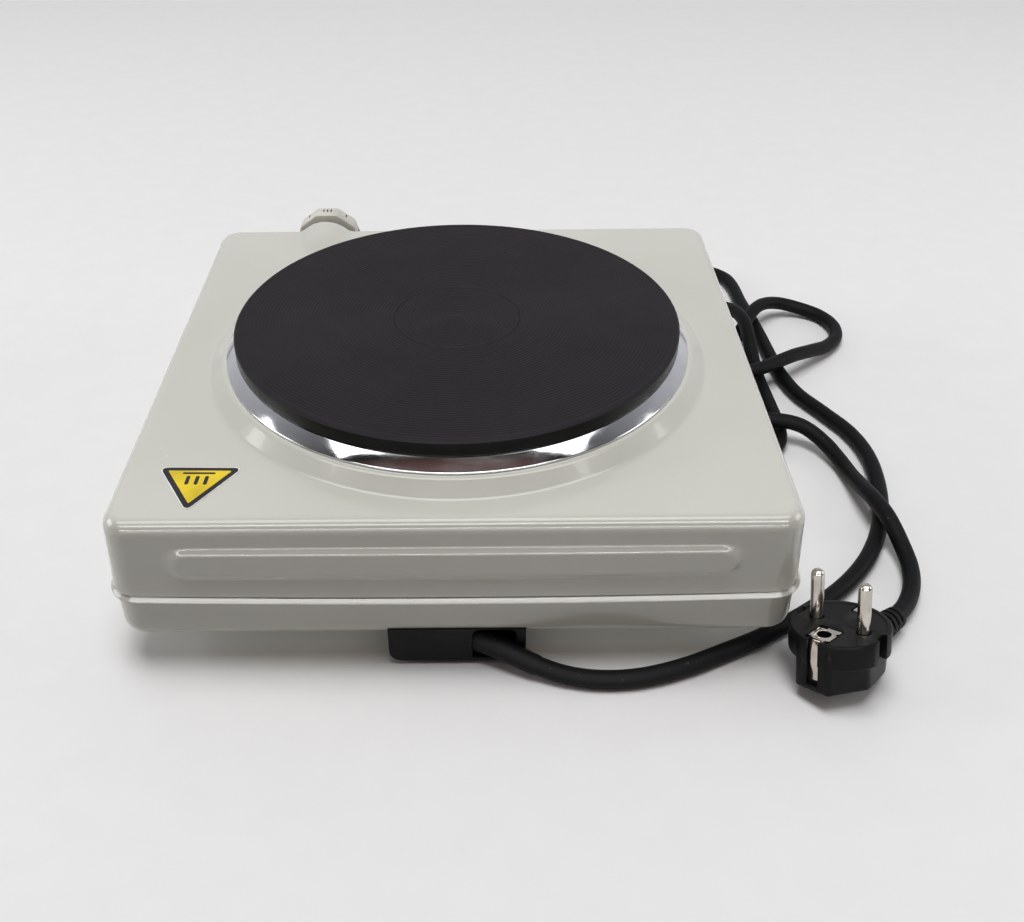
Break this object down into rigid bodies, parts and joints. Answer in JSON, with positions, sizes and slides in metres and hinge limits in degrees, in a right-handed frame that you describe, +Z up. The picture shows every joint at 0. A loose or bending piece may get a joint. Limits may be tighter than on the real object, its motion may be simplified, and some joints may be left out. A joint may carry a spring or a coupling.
{
  "type": "electric hot plate",
  "caption": "Free-standing electric hot plate: a round cast-iron plate in a square enamelled casing, with a thermostat knob in front and a folded mains cord with its plug.",
  "frame": {"origin": "on the table, under the middle of the box round the appliance without its cord", "axes": "+Z up, +Y towards the front where the knob is, -Y towards the rear where the cord leaves"},
  "size_m": [0.3349, 0.3505, 0.084],
  "materials": {
    "cream_enamel": "gloss",
    "cast_iron": "matt coating",
    "chrome_trim": "bright",
    "yellow_label": "printed film",
    "black_rubber": "matt",
    "black_plastic": "matt",
    "cream_plastic": "satin",
    "nickel": "bright nickel",
    "zinc_steel": "zinc plated",
    "ceramic": "unglazed ceramic",
    "heater_sheath": "oxidised",
    "brown_wire": "sleeve",
    "blue_wire": "sleeve",
    "green_wire": "sleeve"
  },
  "bodies": {
    "appliance": {"top_shell": "cream_enamel", "base_pan": "cream_enamel", "rear_label": "yellow_label", "trim_ring": "chrome_trim", "hot_plate": "cast_iron", "heating_coil_inner": "heater_sheath", "heating_coil_outer": "heater_sheath", "insulation_disc": "ceramic", "plate_cover": "zinc_steel", "plate_stud": "zinc_steel", "clamp_strap": "zinc_steel", "stud_washer": "zinc_steel", "stud_nut": "zinc_steel", "plate_terminals": "ceramic", "thermal_cutout": "zinc_steel", "heat_shield": "zinc_steel", "thermostat_body": "ceramic", "thermostat_bracket": "zinc_steel", "thermostat_screw_left": "zinc_steel", "thermostat_screw_right": "zinc_steel", "shaft_bush": "zinc_steel", "terminal_box": "black_plastic", "box_screw_left": "zinc_steel", "box_screw_right": "zinc_steel", "terminal_block": "ceramic", "cord_clamp": "zinc_steel", "clamp_screw_front": "zinc_steel", "clamp_screw_rear": "zinc_steel", "cord_bushing": "black_rubber", "earth_screw": "zinc_steel", "lead_live": "brown_wire", "lead_switched": "brown_wire", "lead_neutral": "blue_wire", "lead_earth": "green_wire", "cord_lead": "black_rubber", "cord_hank": "black_rubber", "cord_loop": "black_rubber", "cord_plug_run": "black_rubber", "plug_body": "black_plastic", "plug_pin_left": "nickel", "plug_pin_right": "nickel", "plug_earth_near": "nickel", "plug_earth_far": "nickel", "plug_relief": "black_rubber", "corner_post_rear_left": "zinc_steel", "base_screw_rear_left": "zinc_steel", "foot_rear_left": "black_rubber", "corner_post_rear_right": "zinc_steel", "base_screw_rear_right": "zinc_steel", "foot_rear_right": "black_rubber", "corner_post_front_left": "zinc_steel", "base_screw_front_left": "zinc_steel", "foot_front_left": "black_rubber", "corner_post_front_right": "zinc_steel", "base_screw_front_right": "zinc_steel", "foot_front_right": "black_rubber"},
    "knob": {"knob": "cream_plastic", "thermostat_shaft": "zinc_steel"}
  },
  "joints": [
    {"name": "knob_turn", "type": "hinge", "parent": "appliance", "child": "knob", "pos_m": [-0.07, 0.12, 0.057], "axis": [0, -1, 0], "range_deg": [0, 270]}
  ]
}
